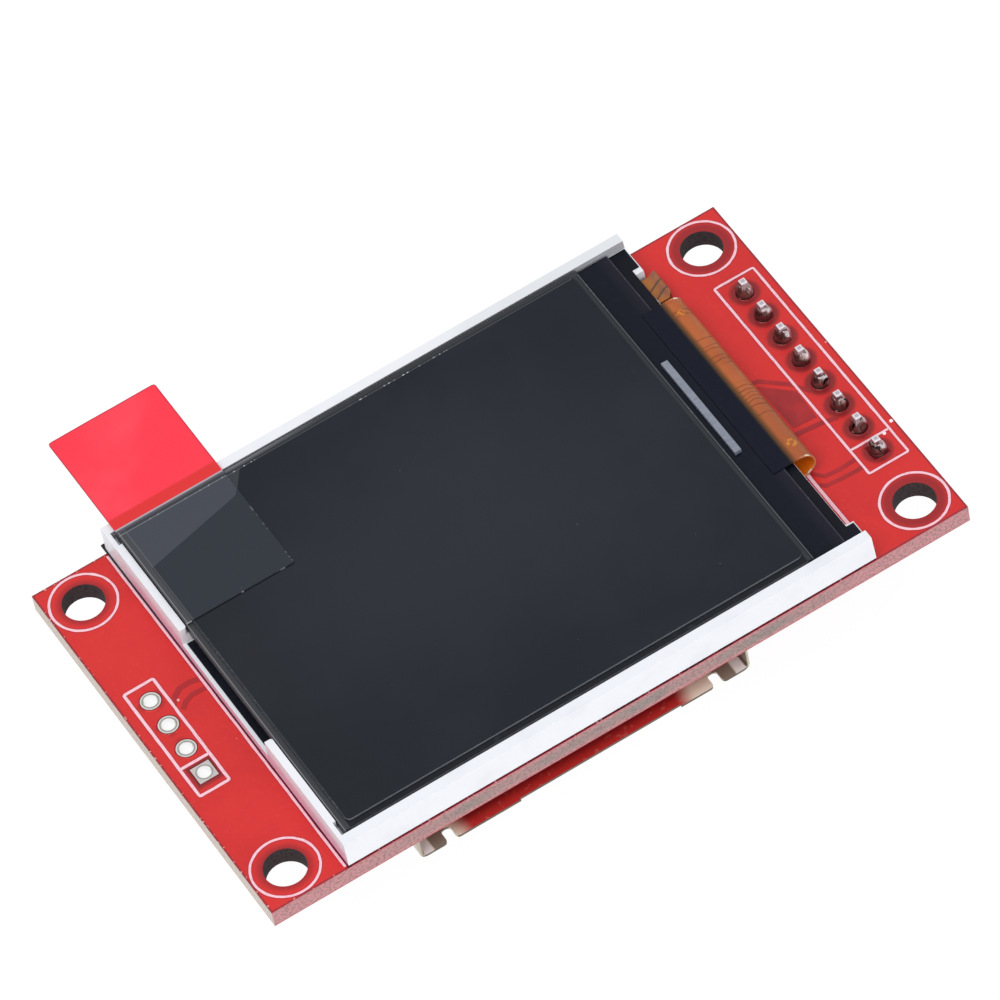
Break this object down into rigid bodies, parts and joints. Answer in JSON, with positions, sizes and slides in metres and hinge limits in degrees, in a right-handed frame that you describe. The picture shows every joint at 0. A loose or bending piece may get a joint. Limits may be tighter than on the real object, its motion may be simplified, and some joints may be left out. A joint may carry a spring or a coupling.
{
  "type": "tft display module",
  "caption": "Small colour display on a red circuit board, with a pin header, a row of bare plated holes and a memory card socket on the back.",
  "frame": {"origin": "centre of the four mounting holes on the circuit board's underside", "axes": "+X along the board towards the pin header, +Y across the board away from the card socket's mouth, +Z out of the screen"},
  "size_m": [0.058, 0.043, 0.0132],
  "materials": {
    "mask": "glossy red solder mask on glass fibre laminate",
    "tinned": "tinned copper",
    "solder": "solder, dull and uneven",
    "pin_metal": "tin plated pin",
    "black_plastic": "moulded, fine matt",
    "white_plastic": "moulded, satin",
    "white_film": "white film",
    "clear_plastic": "clear acrylic",
    "lamp": "white lamp with yellow phosphor",
    "flex_amber": "amber polyimide over copper",
    "black_film": "black adhesive film",
    "dark_glass": "dark display glass",
    "polarizer": "dark film",
    "clear_film": "clear film with dust under it",
    "tab_red": "pinkish red tape",
    "silicon": "polished silicon",
    "foam": "black foam tape",
    "shell_steel": "plated sheet steel",
    "contact_gold": "gold plated spring strip",
    "resistor_black": "black glazed top",
    "capacitor_tan": "tan ceramic"
  },
  "bodies": {
    "root": {"circuit_board": "mask", "header_pads": "tinned", "bare_hole_pads": "tinned", "header_pins": "pin_metal", "header_strip": "black_plastic", "solder_joints": "solder", "backlight_frame": "white_plastic", "reflector_sheet": "white_film", "light_guide": "clear_plastic", "diffuser_sheet": "white_film", "lower_prism_sheet": "clear_plastic", "upper_prism_sheet": "clear_plastic", "backlight_lamps": "lamp", "lamp_circuit": "flex_amber", "black_tape": "black_film", "rear_polarizer": "polarizer", "array_glass": "dark_glass", "filter_glass": "dark_glass", "front_polarizer": "polarizer", "protective_film": "clear_film", "pull_tab": "tab_red", "driver_chip": "silicon", "display_ribbon": "flex_amber", "ribbon_solder": "solder", "adhesive_strips": "foam", "sd_shell": "shell_steel", "sd_housing": "black_plastic", "sd_contacts": "contact_gold", "detect_contacts": "contact_gold", "contact_solder": "solder", "shell_solder": "solder", "resistor_bodies": "resistor_black", "resistor_ends": "tinned", "capacitor_bodies": "capacitor_tan", "capacitor_ends": "tinned", "regulator_body": "black_plastic", "regulator_leads": "tinned", "component_pads": "tinned"}
  },
  "joints": []
}
